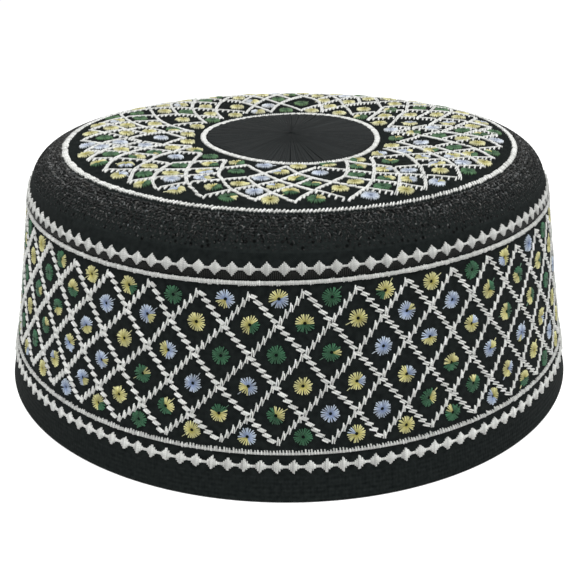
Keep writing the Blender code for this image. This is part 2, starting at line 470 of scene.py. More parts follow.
# %% The hem's cotton
ROW_PITCH, STITCH_PITCH = 1.25, 0.9  # mm
topstitched = Finish("topstitched_cotton", **COTTON)
u, v, _ = topstitched.where("UV")
rows = (v * (2 * np.pi / ROW_PITCH)).wave() * 0.35 + (u * (2 * np.pi / STITCH_PITCH)).wave() * 0.2
fluff = topstitched.noise(0.8, 4.0, "UV")
colour = topstitched.blend(fluff * 1.8 + rows * 0.3 - 0.4, BLACK, WORN_BLACK)
hem_cotton = topstitched.finished(colour, rows + fluff * 0.8, WEAVE_DEPTH)

# %% The hem
ROUND = 0.7  # mm, radius of the hem's lower edges
hem_turn = np.linspace(0, np.pi / 2, 6)[1:]
hem_out = np.concatenate(
    [
        np.zeros(12),
        ROUND * (np.cos(hem_turn) - 1),
        ROUND - HEM_CLOTH - ROUND * np.sin(hem_turn),
        np.full(8, -HEM_CLOTH),
    ]
)
foot = AT["rim"] + hem_out * outline_normal[-1, 1] / outline_normal[-1, 0]  # the s where z is 0
hem_s = foot - np.concatenate(
    [
        foot[0] - np.insert(np.linspace(SIDE_END, AT["rim"] - ROUND, 11), 1, SIDE_END + HAIR),
        ROUND * (1 - np.sin(hem_turn)),
        ROUND * (1 - np.cos(hem_turn)),
        np.linspace(ROUND + 1, foot[-1] - SIDE_END, 8),
    ]
)
new_piece("hem_cloth", turned(hem_s, hem_out), hem_cotton, "hem", slot="black_cloth")

# %% [markdown]
# ## Thread
#
# All the embroidery is one kind of thread: two plies twisted together, with a soft shine. Its colour comes from the
# dye that each stitch was given. The UVs run along the thread and across it, so a slanted wave is the twist.

# %% Embroidery thread
TWIST = 0.55  # mm from ply to ply along the thread


def thread_finish(name, roughness, specular, sheen=0.0):
    """A slanted wave for the plies, a fine noise for the fuzz, and the dye, with painted shade in the grooves of
    both.
    """
    finish = Finish(name, roughness, specular, sheen)
    u, v, _ = finish.where("UV")
    plies = ((u * (1 / TWIST) + v * 0.9) * (2 * np.pi)).wave()
    dye = finish.node("ShaderNodeAttribute", {"attribute_name": "dye"}, {}, "Color")
    fuzz = finish.noise(2500.0, 2.0)
    shaded = finish.blend(plies * 0.09 + fuzz * 0.3, dye, (0.0, 0.0, 0.0))
    return finish.finished(shaded, plies * 0.6 + fuzz, depth=0.08)


white_thread = thread_finish("white_thread", roughness=0.55, specular=0.3, sheen=0.05)
flower_thread = thread_finish("flower_thread", roughness=0.55, specular=0.25, sheen=0.05)
black_thread = thread_finish("black_thread", roughness=0.5, specular=0.16)

# %% [markdown]
# No two stitches are alike. One seeded source of chance makes each a little lighter or darker, longer or shorter,
# so the cap comes out the same every time. The lines themselves were sewn by eye, and each bends in its own way:
# a few slow waves round the cap, read off the real one.

# %% Sewn by hand and by eye
rng = np.random.default_rng(7)


def worn(dye, count, spread):
    """A dye for each of count stitches, some a little lighter than the dye given and some a little darker."""
    return np.clip(np.array(dye) * (1 + spread * rng.standard_normal((count, 1))), 0, 0.92)


def upper_drift(angle):
    """The upper line was sewn by eye. Seen from the front it climbs to the right by a millimetre and a half."""
    return -0.6 * np.sin(2 * angle) - 0.25 * np.sin(3 * angle)


def inner_drift(angle):
    """The ring round the disc is rather a rounded square than a circle: a sum of slow waves round the cap."""
    turns = np.arange(4)[:, None] * angle.ravel()
    drift = np.array([0.7, 0.2, 0.68, 0.45]) @ np.cos(turns) + np.array([0, 0.45, 0.4, 0.78]) @ np.sin(turns)
    return drift.reshape(angle.shape)


def outer_drift(angle):
    """The ring at the crown's edge lies up to 0.4 mm inside its line, except at the cap's sides."""
    return -0.3 - 0.3 * np.cos(2 * angle) + 0.2 * np.cos(4 * angle) + 0.15 * np.sin(3 * angle)


def wander(angle, size, waves=9):
    """A hand-guided line drifts: the sum of a few slow waves round the cap, with seeded phases."""
    phases = rng.uniform(0, 2 * np.pi, waves)
    k = np.arange(1, waves + 1)[:, None]
    return size * (np.sin(k * angle[None] + phases[:, None]) / np.sqrt(k)).sum(axis=0) / 2


bends = [round(float(drift(np.zeros(1))[0]), 2) for drift in (outer_drift, inner_drift, upper_drift)]
print("in front the two rings and the upper line lie lower than drawn by", bends, "mm")

# %% [markdown]
# ## The satin rings and lines
#
# A satin ring is laid over a padding cord: stitch after stitch goes across it, side by side. The big ring at the
# crown's edge was stitched with thick thread at a slant, so its outer side is a row of teeth. The two lines on the
# side are finer, and the lower one shows its teeth along the top.

# %% Satin borders
def satin(station, pitch, before, after, slant, width, height, ragged, dye=WHITE, swell=0.0, drift=None):
    """Stitches across a line, one each pitch, from before it to after it. slant is how far, in mm round the
    cap, a stitch's lower end lies from its upper end, and ragged how uneven the ends are. swell is the share
    by which the stitches are longer at the cap's sides."""
    middle, radius = AT[station], radius_at(AT[station])
    count = int(round(2 * np.pi * radius / pitch))
    angle = np.arange(count) * 2 * np.pi / count
    line = middle + (drift(angle) if drift else 0.0) + wander(angle, 0.05)
    tips = ragged * rng.standard_normal((2, count))
    longer = 1 + swell * np.sin(angle) ** 2
    angle = angle + 0.1 * pitch / radius * rng.standard_normal(count)
    start = np.stack([line - before * longer + tips[0], angle - slant / 2 / radius], axis=-1)
    end = np.stack([line + after * longer + tips[1], angle + slant / 2 / radius], axis=-1)
    rise = height * (1 + 0.07 * rng.standard_normal(count))
    return threads(start, end, width, rise, worn(dye, count, 0.12))


def cord(station, offset, width, height, shade, drift=None):
    """The padding cord under a satin ring, in a share of the thread's white: painted shade where it shows between the
    stitches.
    """
    s, out = cord_section(AT[station] + offset, width, height)
    return turned(s, out, dye=WHITE * shade, drift=drift)


BORDERS = {  # the stitches, the cord and the bend of each
    "outer_ring": (
        dict(pitch=1.02, before=0.66, after=0.62, slant=-0.9, width=0.6, height=0.5, ragged=0.14, swell=0.55),
        dict(offset=-0.1, width=0.75, height=0.22, shade=0.36),
        outer_drift,
    ),
    "inner_ring": (
        dict(pitch=0.7, before=0.85, after=1.1, slant=-0.4, width=0.52, height=0.5, ragged=0.07),
        dict(offset=0.15, width=1.5, height=0.38, shade=0.85),
        inner_drift,
    ),
    "upper_line": (
        dict(pitch=0.6, before=0.6, after=0.6, slant=0.2, width=0.44, height=0.62, ragged=0.13, dye=WHITE * 0.74),
        dict(offset=0.0, width=1.1, height=0.42, shade=0.62),
        upper_drift,
    ),
    "lower_line": (
        dict(pitch=0.83, before=0.8, after=0.5, slant=0.12, width=0.42, height=0.55, ragged=0.14, dye=WHITE * 0.78),
        dict(offset=0.22, width=0.7, height=0.38, shade=0.5),
        None,
    ),
}
for station, (stitches, padding, drift) in BORDERS.items():
    border = joined(satin(station, drift=drift, **stitches), cord(station, drift=drift, **padding))
    new_piece(station + "_satin", border, white_thread, station, slot="white_thread")

# %% [markdown]
# ## The chains of diamonds
#
# A diamond is satin stitch too. Its stitches stand side by side and get longer towards its middle. Between diamonds
# they shrink to the thin link of the chain. In the lower chain the right half is a comb: the dense stitches stop
# short there, and a few single ones reach over them.

# %% Diamonds
POINT = 0.43  # where a diamond ends, as a share of its room from its middle
SINGLE, SINGLE_WIDTH = np.array([0.03, 0.17, 0.31]), 0.34  # where a comb's long stitches stand, and mm


def diamonds(middle, count, first, tall, link, pitch, comb, ragged, dye, drift=None):
    """For a stitch at x, in shares of a diamond's room from -0.5 to 0.5, the half length is the diamond's half
    height times 1 - |x| / POINT, or the link's where that is more. comb is the share by which the dense
    stitches of the right half are shorter. The thread runs the other way there, and that half gets a painted
    highlight in its dye and the left half a painted shade."""
    radius = radius_at(middle)
    each = int(round(2 * np.pi * radius / count / pitch))
    dense = ((np.arange(each) + 0.5) / each - 0.5, pitch * 1.1, comb)
    single = (SINGLE if comb else np.zeros(0), SINGLE_WIDTH, 0.0)
    parts = []
    for x, width, short in (dense, single):
        half = tall / 2 * (1 - np.abs(x) / POINT) * np.where(x > 0, 1 - short, 1)
        inside = np.tile(half > link / 2, count)
        half = np.tile(np.maximum(half, link / 2), count)
        angle = first + ((np.arange(count)[:, None] + x) * 2 * np.pi / count).ravel()
        above, below = half * (1 + ragged * rng.standard_normal((2, len(angle))) * inside)
        line = middle + (drift(angle) if drift else 0.0) + wander(angle, 0.08)
        start = np.stack([line - above, angle + comb * above / 2 / radius], axis=-1)
        end = np.stack([line + below, angle], axis=-1)
        height = 0.3 + 0.3 * np.clip(half / (tall / 2), 0, 1) + 0.1 * (short < comb)
        # painted light: the right half of each diamond is dyed lighter, the left half darker
        dyes = worn(dye, len(angle), 0.1) * np.tile(np.where(x > 0, 1.06, 0.92), count)[:, None]
        parts.append(threads(start, end, width, height, dyes, dive=0.1))
    return joined(*parts)


CHAIN_COUNT, CHAIN_FIRST = 118, np.radians(-0.77)
diamond = dict(tall=3.85, link=0.65, pitch=0.4, comb=0.0, ragged=0.05, dye=WHITE * 0.74, drift=upper_drift)
upper_chain = diamonds(AT["upper_line"] - 3.4, CHAIN_COUNT, CHAIN_FIRST, **diamond)
new_piece("upper_diamonds_satin", upper_chain, white_thread, "upper_diamonds", slot="white_thread")
diamond = dict(tall=4.0, link=0.7, pitch=0.42, comb=0.25, ragged=0.08, dye=WHITE * 0.88)
lower_chain = diamonds(AT["lower_line"] + 3.8, 132, np.radians(0.6), **diamond)
new_piece("lower_diamonds_satin", lower_chain, white_thread, "lower_diamonds", slot="white_thread")

# %% [markdown]
# Under the upper chain, every gap between two diamonds holds a half moon of black satin. It is black on black, and
# only its shine and a near-black thread round it, painted shade for its groove, tell it from the cloth.

# %% Half moons
MOON_WIDE, MOON_TALL, MOON_PITCH = 4.0, 2.2, 0.5  # mm
# the groove's colour is painted shade: a near-black thread where the groove round a half moon lies in shade
MOON_BLACK, GROOVE_SHADE_BLACK = (0.0070, 0.0080, 0.0070), (0.0006, 0.0006, 0.0006)
GROOVE = 0.15  # mm from the tips of the stitches to the groove round them


def half_moons():
    """Upright stitches on a straight foot, their tops on a half ellipse, and a near-black thread along its arc:
    painted shade for the groove round them.
    """
    foot = AT["upper_line"] - 0.9
    radius = radius_at(foot)
    room = (np.arange(CHAIN_COUNT)[:, None] + 0.5) * 2 * np.pi / CHAIN_COUNT + CHAIN_FIRST
    each = int(MOON_WIDE / MOON_PITCH)
    x = (np.arange(each) + 0.5) / each * 2 - 1
    angle = (room + x * MOON_WIDE / 2 / radius).ravel()
    line = foot + upper_drift(angle)
    top = np.tile(MOON_TALL * np.sqrt(1 - x * x), CHAIN_COUNT)
    start, end = np.stack([line - top, angle], axis=-1), np.stack([line, angle], axis=-1)
    stitches = threads(start, end, MOON_PITCH * 1.1, 0.3, worn(MOON_BLACK, len(angle), 0.15), dive=0.1)
    turn = np.linspace(0, np.pi, 9)
    around = room - np.cos(turn) * (MOON_WIDE / 2 + GROOVE) / radius
    arc = np.stack([foot + upper_drift(around) - np.sin(turn) * (MOON_TALL + GROOVE), around], axis=-1)
    start, end = arc[:, :-1].reshape(-1, 2), arc[:, 1:].reshape(-1, 2)
    return joined(stitches, threads(start, end, 0.34, 0.2, GROOVE_SHADE_BLACK, dive=0.05))


new_piece("half_moons", half_moons(), black_thread, slot="black_satin")

# %% [markdown]
# ## The centre disc
#
# The middle of the crown is filled with black satin stitch. Every stitch runs from the ring to the centre, where
# they all meet, and shorter ones fill in near the ring where the long ones would part.

# %% The centre disc
DISC_EDGE = AT["inner_ring"] - 0.8
DISC_BLACK, PAD_BLACK = (0.0058, 0.0084, 0.0086), (0.006, 0.007, 0.007)


def spokes(inner, widths, height, turn=0.0, count=128):
    """Long threads from a small circle round the centre out to the ring, evenly round the disc, each wider at
    the ring than at the centre. Some lie deeper than others, in folds that a few slow waves give."""
    angle = (np.arange(count) + turn) * 2 * np.pi / count
    fold = wander(angle, 0.04, 30)
    reach = DISC_EDGE + inner_drift(angle) + 0.2 * rng.standard_normal(count)
    start = np.stack([np.broadcast_to(inner, count), angle], axis=-1)
    end = np.stack([reach, angle + 0.006 * rng.standard_normal(count)], axis=-1)
    dye = worn(DISC_BLACK, count, 0.14)
    height = height + fold + 0.02 * rng.standard_normal(count)
    return threads(start, end, widths[0], height, dye, dive=0.02, end_width=widths[1], sections=9)


disc_s = np.linspace(0, DISC_EDGE, 8)
disc_s, disc_out = np.concatenate([disc_s, disc_s[::-1]]), np.repeat([0.15, 0.02], 8)
pad = turned(disc_s, disc_out, columns=120, poles=True, dye=PAD_BLACK, drift=inner_drift)
long_ones = spokes(0.4, widths=(0.06, 1.5), height=0.5)
short_ones = spokes(10.0, widths=(0.15, 0.95), height=0.45, turn=0.5)
disc = joined(pad, long_ones, short_ones)
new_piece("centre_disc_satin", disc, black_thread, "centre_disc", slot="black_satin")

# %% [markdown]
# ## The lattice
#
# Two sets of slanting lines cross to make a lattice. It is easiest to think of its crossings: they stand in six
# levels, and a crossing of one level lies between two of the level above. On the side every level is the same, and
# every other one is turned by half a column.
#
# On the crown the circle gets smaller towards the middle. So of every three lines one stops half way, and leaves a
# big open cell. The crossings of three columns are charted below, and the chart is repeated eleven times.

# %% The chart of the crossings
SIDE_LEVELS = (93.1, 101.5, 109.9, 118.3, 126.9, 134.5)  # s in mm
SIDE_COLUMNS, SIDE_PHASE = 38, np.radians(3.0)
CROWN_COLUMNS, CROWN_PHASE = 33, np.radians(12.3)
CROWN_CHART = (  # level by level from the edge inwards: (column, s) of the crossings in a group of three columns
    ((0.0, 66.4), (1.12, 66.0), (1.88, 66.0)),
    ((0.57, 60.3), (1.43, 60.8), (2.35, 59.8)),
    ((0.0, 51.7), (1.0, 54.8), (1.93, 54.0)),
    ((0.48, 47.2), (1.47, 48.6), (2.45, 46.5)),
    ((0.95, 41.7), (2.1, 41.0)),
    ((-0.1, 34.0), (1.55, 32.7)),
)
CROWN_LINKS = (  # from each level inwards: which crossing is joined to which, 3 or 2 more being the next group's
    ((0, 0), (1, 0), (1, 1), (2, 1), (2, 2), (3, 2)),
    ((0, 0), (0, 1), (1, 1), (1, 2), (2, 2), (2, 3)),
    ((0, 0), (1, 0), (1, 1), (2, 1), (2, 2), (3, 2)),
    ((0, 0), (1, 0), (1, 1), (2, 1)),
    ((0, 0), (0, 1), (1, 1), (1, 2)),
)

# %% How the lattice bends
SIDE_RADIUS, CROWN_RADIUS = 87, 62  # mm, where a move round the cap is true to size


def side_drift(places):
    """On the side the upper line's drift carries on into the lattice and fades out towards the lower line. The
    cells are a little narrower on the right and wider on the left, and the lattice leans: its foot is turned by
    one or two millimetres."""
    s, angle = places[..., 0], places[..., 1]
    depth = (s - AT["upper_line"]) / (AT["lower_line"] - AT["upper_line"])
    half_way = np.sin(np.pi * np.clip(depth, 0, 1))
    down = (1 - depth) * upper_drift(angle) + 0.6 * depth * np.sin(angle)
    down = down - 0.7 * half_way * np.sin(4 * angle)
    aside = -0.15 - 1.3 * np.sin(angle) - (1.9 - 0.8 * np.cos(6 * angle)) * depth - 0.4 * half_way
    return np.stack([s + down, angle + aside / SIDE_RADIUS], axis=-1)


def crown_drift(places):
    """On the crown the cells crowd together at the back, and more so on the right: slow waves again. The move
    fades out towards the disc."""
    s, angle = places[..., 0], places[..., 1]
    aside = -0.5 - 1.8 * np.sin(angle) + 0.9 * np.sin(2 * angle) + 0.5 * np.cos(3 * angle)
    aside = aside + 1.2 * np.sin(3 * angle) - 0.5 * np.sin(4 * angle)
    return np.stack([s, angle + aside / CROWN_RADIUS * np.clip((s - 28) / 25, 0, 1)], axis=-1)


# %% The crossings
def side_crossings():
    """Level by level the crossings' places, and the lines from each to the two below it, right and left."""
    i = np.arange(SIDE_COLUMNS)
    nodes, edges = [], []
    for j, s in enumerate(SIDE_LEVELS):
        angle = SIDE_PHASE + (i + 0.5 * (j % 2)) * 2 * np.pi / SIDE_COLUMNS
        nodes.append(side_drift(np.stack([np.full(SIDE_COLUMNS, s), angle], axis=-1)))
        right = i if j % 2 == 0 else (i + 1) % SIDE_COLUMNS
        edges += [(j, i, right), (j, i, (right - 1) % SIDE_COLUMNS)] if j < len(SIDE_LEVELS) - 1 else []
    return nodes, edges


def crown_crossings():
    """The chart of three columns, repeated round the crown, with its places and its lines."""
    group = np.arange(CROWN_COLUMNS // 3)[:, None]
    nodes, edges = [], []
    for chart in CROWN_CHART:
        column, s = np.array(chart).T
        angle = CROWN_PHASE + (3 * group + column).ravel() * 2 * np.pi / CROWN_COLUMNS
        nodes.append(crown_drift(np.stack([np.tile(s, len(group)), angle], axis=-1)))
    for level, links in enumerate(CROWN_LINKS):
        a, b = np.array(links).T
        outer = (len(CROWN_CHART[level]) * group + a).ravel() % len(nodes[level])
        inner = (len(CROWN_CHART[level + 1]) * group + b).ravel() % len(nodes[level + 1])
        edges.append((level, outer, inner))
    return nodes, edges


def loosen(nodes, size):
    """Hand-placed crossings: each is moved by a random part of a millimetre."""
    for level in nodes:
        moves = size * rng.standard_normal((len(level), 2))
        level += moves / np.stack([np.ones(len(level)), radius_at(level[:, 0])], axis=-1)


side_nodes, side_edges = side_crossings()
crown_nodes, crown_edges = crown_crossings()
loosen(side_nodes, 0.25)
loosen(crown_nodes, 0.35)
print("crossings:", sum(map(len, side_nodes)), "on the side,", sum(map(len, crown_nodes)), "on the crown")

# %% [markdown]
# Along every line the stitches don't follow the line itself. On the side, a line that goes down to the right is
# made of short pairs of threads, staggered and flatter than the line. A line that goes down to the left is made of
# narrow wedges that stand upright, each tied to the next by a thin thread.
#
# The side was embroidered as a long strip, so there upright means straight down the cap. The crown was embroidered
# as one flat piece, so there all the wedges point the same way, to the front, wherever on the crown they are. Only
# its lines that slant down to the right are smooth pairs. Where a line goes sideways its wedges are the teeth of a
# comb, and where it is steep they lie one on the other like the strands of a rope.

# %% Flat pairs
def flat_pairs(middle, slope, radius, long, thick, height, flatter):
    """Two threads side by side, the upper one slipped forward, and a thin link to the next pair."""
    turn = slope[:, None] - flatter + 0.07 * rng.standard_normal(middle.shape[:2])
    lie = np.stack([np.sin(turn), np.cos(turn) / radius], axis=-1) * long / 2
    aside = np.stack([-np.cos(turn), np.sin(turn) / radius], axis=-1) * thick * 0.53
    made = []
    for hand in (-1, 1):
        place = (middle + hand * (aside + 0.16 * lie)).reshape(-1, 2)
        slip = 0.84 * lie.reshape(-1, 2) * (1 + 0.08 * rng.standard_normal((len(place), 1)))
        dyes = worn(WHITE, len(place), 0.1)
        made.append(threads(place - slip, place + slip, thick, height, dyes, dive=0.12))
    first, last = (middle + 0.3 * lie)[:, :-1], (middle - 0.3 * lie)[:, 1:]
    first, last = first.reshape(-1, 2), last.reshape(-1, 2)
    made.append(threads(first, last, thick * 0.6, 0.3, WHITE * 0.8, dive=0.5, sections=3))
    return made


# %% Wedges
def wedges(middle, across, spin, radius, long, thick, foot_width, height):
    """Two threads from one hole that part downwards, and a thin one from their foot up to the wedge above. On
    the flat piece a thicker thread runs along the tops, and the wedges of a line that goes sideways hang from
    it like the teeth of a comb, hardly wider than one thread."""
    lean = np.radians(100 + 8 * spin)
    turn = lean + spin * middle[..., 1] + 0.05 * rng.standard_normal(middle.shape[:2])
    foot_width = foot_width * (1 - 0.85 * spin * np.abs(np.cos(across)))[:, None, None]
    lie = np.stack([np.sin(turn), np.cos(turn) / radius], axis=-1) * long / 2
    aside = np.stack([-np.cos(turn), np.sin(turn) / radius], axis=-1) * foot_width
    top, foot, corner = (p.reshape(-1, 2) for p in (middle - lie, middle + lie, middle + lie + aside))
    made = [threads(top, foot, thick, height, worn(WHITE, len(top), 0.1), dive=0.1)]
    start = top + 0.2 * (corner - top) + 0.35 * aside.reshape(-1, 2)
    made.append(threads(start, corner, thick, height * 0.85, worn(WHITE, len(top), 0.1), dive=0.1))
    if spin:
        hung = middle - 0.7 * lie
        first, last = hung[:, 1:].reshape(-1, 2), hung[:, :-1].reshape(-1, 2)
        dyes = worn(WHITE * 0.93, len(first), 0.1)
        made.append(threads(first, last, 0.42, height, dyes, dive=0.1))
    else:
        first, last = (middle + 0.9 * lie + aside)[:, 1:], (middle - 0.2 * lie)[:, :-1]
        first, last = first.reshape(-1, 2), last.reshape(-1, 2)
        made.append(threads(first, last, 0.3, height * 0.6, WHITE * 0.82, dive=0.5, sections=3))
    return made


# %% The lattice
STEEP, SHALLOW = np.radians(85), np.radians(36)  # from the line that goes to the right


def lattice_stitches(nodes, edges, spin, steps, pair, wedge):
    """Every edge is turned so that it goes down: down the strip where spin is 0, and to the front of the flat
    piece where it is 1. Its stitches stand at even steps, which differ for pairs and wedges. Edges that are
    less steep than STEEP are made of pairs, but on the flat piece those below SHALLOW are made of wedges too."""
    parts = []
    for level, upper, lower in edges:
        a, b = nodes[level][upper], nodes[level + 1][lower]
        reach = b - a
        reach[:, 1] = (reach[:, 1] + np.pi) % (2 * np.pi) - np.pi
        radius = radius_at(a[:, :1] + reach[:, :1] / 2)
        slope = np.arctan2(reach[:, 0], reach[:, 1] * radius[:, 0])
        across = (slope - spin * (a[:, 1] + reach[:, 1] / 2)) % (2 * np.pi)
        up = across > np.pi
        a[up], reach[up] = a[up] + reach[up], -reach[up]
        slope[up], across[up] = slope[up] + np.pi, across[up] - np.pi
        paired = (across < STEEP) & (across > SHALLOW * spin)
        for here, step in zip((paired, ~paired), steps):
            if not here.any():
                continue
            length = np.hypot(reach[here, 0], reach[here, 1] * radius[here, 0]).mean()
            count = max(3, int(round(length / step)))
            place = a[here, None] + reach[here, None] * ((np.arange(count) + 0.5) / count)[None, :, None]
            place = place + 0.07 * rng.standard_normal(place.shape) * [1, 0.011]
            if here is paired:
                parts += flat_pairs(place, slope[here], radius[here], **pair)
            else:
                parts += wedges(place, across[here], spin, radius[here], **wedge)
    return joined(*parts)


pair = dict(long=2.5, thick=0.5, height=0.54, flatter=np.radians(24))
wedge = dict(long=2.5, thick=0.37, foot_width=0.62, height=0.42)
side_lattice = lattice_stitches(side_nodes, side_edges, 0, (2.2, 2.2), pair, wedge)
new_piece("side_lattice", side_lattice, white_thread, slot="white_thread")
pair = dict(long=2.7, thick=0.38, height=0.46, flatter=np.radians(9))
wedge = dict(long=2.4, thick=0.46, foot_width=0.8, height=0.44)
crown_lattice = lattice_stitches(crown_nodes, crown_edges, 1, (2.0, 1.7), pair, wedge)
new_piece("crown_lattice", crown_lattice, white_thread, slot="white_thread")

# %% [markdown]
# ## The flowers
#
# A flower is an eyelet with a sunburst of stitches round it. The thread is often variegated, so a flower starts in
# one colour and ends in another. The charts say, as an embroiderer's would, which dyes a flower has, towards which
# hour of the clock the second one lies (`a` and `b` are ten and eleven), and over how many hours it spreads. A
# row's middle word is the flower nearest the front.

# %% The colour charts
DYES = {  # ochre, green and blue, each at the eye and at the tips, where it catches the light
    "y": ((0.37, 0.33, 0.070), (0.77, 0.75, 0.385)),
    "g": ((0.011, 0.065, 0.025), (0.050, 0.175, 0.088)),
    "b": ((0.18, 0.25, 0.43), (0.57, 0.65, 0.74)),
}
SIDE_DYES = (
    "y    gy34 y    yg43 g    by73 yb56 g    yg83 y    g    yb84 b    g    y   ",
    "y    g    yg66 b    by43 y    yg44 yg66 y    by22 b    yg24 gy85 yg33 y   ",
    "gy33 gy55 by55 y    by95 g    g    gy32 b    by65 yb23 yg35 yg35 g    b   ",
    "y    gy13 by15 by32 gy22 b    by84 y    yb33 yb24 yg66 by23 by71 yb43 y   ",
    "g    yba3 by43 y    gy25 yg04 gy25 b    b    gy34 gy02 yb34 y    b    y   ",
    "yb44 y    b    yg44 g    y    by73 g    yba2 y    gyb2 by25 yg65 g    y   ",
)
CROWN_DYES = (
    "y    yg35 yb04 yg25 yba4 gy32 y    gy23 b    y    by32 g    y    gy12 b   ",
    "b    g    yb45 g    b    yg35 b    yg64 y    g    yb45 y    b    yg64 y   ",
    "y    yg64 y    y    by24 y    yba3 gy23 y    gy35 b    yb05 yba5 g    y   ",
    "b    gy32 g    yb45 b    yg45 g    yb43 yb45 yg63 g   ",
    "b    g    b    gy24 b   ",
    "yg34 yba4 gy35 by53 yg65",
    "y    yg33 g    yg34 b    y    gy64 yga5 yb45 y    gy43",
)
REST = "y g y y b y gy24 y y g yb45".split()  # goes on round the back, beyond both ends of the charted rows
print("charted flowers:", sum(len(line.split()) for line in SIDE_DYES + CROWN_DYES))

# %% Reading the charts
def chart_dyes(words, columns, petals):
    """For each flower of a row and each of its petals, the first dye, or the second if the petal points to the
    chart's hours. A word without hours has one dye, and the row's middle word is flower 0. Beyond the words
    REST goes on, and starts at another place in rows of other lengths."""
    hour_of = (3 - np.arange(petals) / petals * 12) % 12
    dyes = np.zeros((columns, petals, 2, 3))
    for i in range(columns):
        place = (i + len(words) // 2) % columns
        beyond = (3 * len(words) + place + len(words[1])) % len(REST)
        word = words[place] if place < len(words) else REST[beyond]
        dyes[i] = DYES[word[0]]
        if len(word) > 1:
            hour, spread = int(word[2], 12), int(word[3])
            dyes[i, np.abs((hour_of - hour + 6) % 12 - 6) < spread / 2] = DYES[word[1]]
    return dyes


# %% [markdown]
# A row of flowers stands where the lattice leaves room. On the side that is half way between a crossing and the one
# two levels below it, and in the open corners along both lines. On the crown the rows are charted.

# %% Where the flowers stand
ASIDE = 0.3  # mm, how far right of the middle of their cells the side's flowers stand
CORNERS = 95.3, 132.5  # s in mm of the rows in the open corners
CROWN_BEDS = (  # a row's flowers in a group of three columns, as (column, s)
    ((0.55, 64.9), (1.42, 65.3), (2.35, 64.5)),
    ((0.0, 59.2), (1.0, 60.2), (1.85, 59.2)),
    ((0.52, 54.5), (1.45, 54.9), (2.4, 53.0)),
    ((0.95, 47.2), (2.0, 46.6)),
    ((-0.1, 41.8),),
    ((1.5, 39.6),),
    ((0.62, 33.4), (2.2, 33.5)),
)


def side_rows():
    """A row half way between each level and the next but one, and a row in the corners at each end."""
    rows = []
    half_way = np.convolve(SIDE_LEVELS, [0.5, 0, 0.5], "valid") + 0.3
    for j, s in enumerate((CORNERS[0], *half_way, CORNERS[1])):
        column = np.arange(SIDE_COLUMNS) + 0.5 * (1 - j % 2)
        angle = SIDE_PHASE + ASIDE / SIDE_RADIUS + column * 2 * np.pi / SIDE_COLUMNS
        rows.append(side_drift(np.stack([np.full(SIDE_COLUMNS, s), angle], axis=-1)))
    return rows


def crown_rows():
    """The charted rows, repeated round the crown. A row's flower 0 is the first at the front or right of it."""
    rows = []
    for bed in CROWN_BEDS:
        column, s = np.array(bed).T
        groups = np.arange(CROWN_COLUMNS // 3)[:, None]
        angle = CROWN_PHASE + (3 * groups + column).ravel() * 2 * np.pi / CROWN_COLUMNS
        places = np.stack([np.tile(s, len(groups)), (angle + np.pi) % (2 * np.pi) - np.pi], axis=-1)
        first = np.argmin(np.where(places[:, 1] < -0.04, np.inf, places[:, 1]))
        rows.append(crown_drift(np.roll(places, -first, axis=0)))
    return rows


side_beds, crown_beds = side_rows(), crown_rows()
print("flowers:", sum(map(len, side_beds)), "on the side,", sum(map(len, crown_beds)), "on the crown")

# %% [markdown]
# The flowers of the crown get a painted sheen, which moves their dyes towards white, and those of the side keep
# their dyes. So a flower takes its painted sheen as a number, and the charts can use the same three dyes everywhere.

# %% Painted sheen
OCHRE_SHEEN, BLUE_SHEEN, GREEN_SHEEN = [[0.4], [1.6]], [[5.0], [8.0]], [[2.0], [4.5]]  # at the eye, at the tips
SHEEN_TINT, SHEEN_TINT_GREEN = 1.15, [1.15, 1.1, 0.5]  # what the painted sheen moves a dye towards, as shares of the thread's white
CROWN_SHEEN = 0.35  # how strong the crown's painted sheen is, where the side's number is 0


def sheened(dyes, angle, sheen_share):
    """A painted sheen: a dye moves towards white by a share, which grows with the square of its green, with what
    its blue has over its red, and with what its green has over both. It is strongest at the tips and at the back."""
    red, green, blue = (dyes[..., k : k + 1] for k in range(3))
    bluish = np.maximum(blue - red - 0.04, 0)
    greenish = np.maximum(green - np.maximum(red, blue) - 0.03, 0)
    share = sheen_share * (0.8 - 0.3 * np.cos(angle))[:, None, None, None]
    share = share * (green**2 * OCHRE_SHEEN + bluish * BLUE_SHEEN + greenish * GREEN_SHEEN)
    return dyes + share * (WHITE * np.where(greenish > 0, SHEEN_TINT_GREEN, SHEEN_TINT) - dyes)


for name, dye in DYES.items():
    front, behind = sheened(np.tile(dye, (2, 1, 1, 1)), np.array([0.0, np.pi]), CROWN_SHEEN)[:, 0, 1]
    print(name, "faded at the tips, in front and behind:", np.round(front, 2), np.round(behind, 2))

# %% Flowers
TAILED = 0.45  # the share of the flowers that end in a loose tail
TAIL_HOURS = np.radians([40, 215])  # the two ways in which the tails lie


